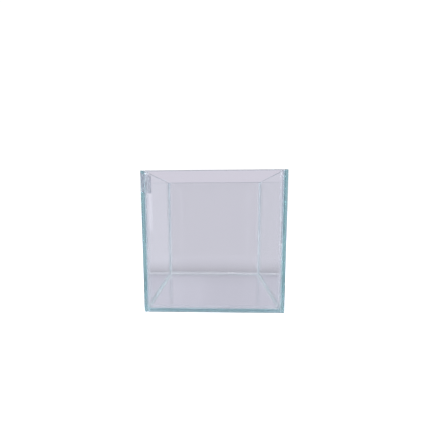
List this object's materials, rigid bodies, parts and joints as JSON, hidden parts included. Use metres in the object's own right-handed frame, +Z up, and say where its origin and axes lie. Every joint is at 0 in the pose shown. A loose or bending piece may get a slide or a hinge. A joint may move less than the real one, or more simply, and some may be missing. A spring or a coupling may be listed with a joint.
{
  "type": "aquarium tank",
  "caption": "Rimless open-top cube aquarium of polished float glass panes, bonded at the edges and sealed inside with clear silicone.",
  "frame": {"origin": "centre of the base, on the surface that the tank stands on", "axes": "+Z up through the open top, -Y out of the front pane, -X out of the left pane (the one with the label)"},
  "size_m": [0.2005, 0.2, 0.2],
  "materials": {
    "float_glass": "clear float glass, faintly green through its thickness, with polished edges and a small ground arris",
    "bond_silicone": "clear neutral-cure silicone, a thin layer between two glass faces",
    "seal_silicone": "clear silicone tooled to a smooth hollow, slightly milky and glossy",
    "label_film": "blank grey-blue adhesive film label, satin"
  },
  "bodies": {
    "root": {"bottom_pane": "float_glass", "front_pane": "float_glass", "back_pane": "float_glass", "left_pane": "float_glass", "right_pane": "float_glass", "corner_bond_front_left": "bond_silicone", "corner_bond_front_right": "bond_silicone", "corner_bond_back_left": "bond_silicone", "corner_bond_back_right": "bond_silicone", "bottom_bond_front": "bond_silicone", "bottom_bond_back": "bond_silicone", "bottom_bond_left": "bond_silicone", "bottom_bond_right": "bond_silicone", "upright_seal_front_left": "seal_silicone", "upright_seal_front_right": "seal_silicone", "upright_seal_back_left": "seal_silicone", "upright_seal_back_right": "seal_silicone", "bottom_seal_front": "seal_silicone", "bottom_seal_back": "seal_silicone", "bottom_seal_left": "seal_silicone", "bottom_seal_right": "seal_silicone", "corner_label": "label_film"}
  },
  "joints": []
}
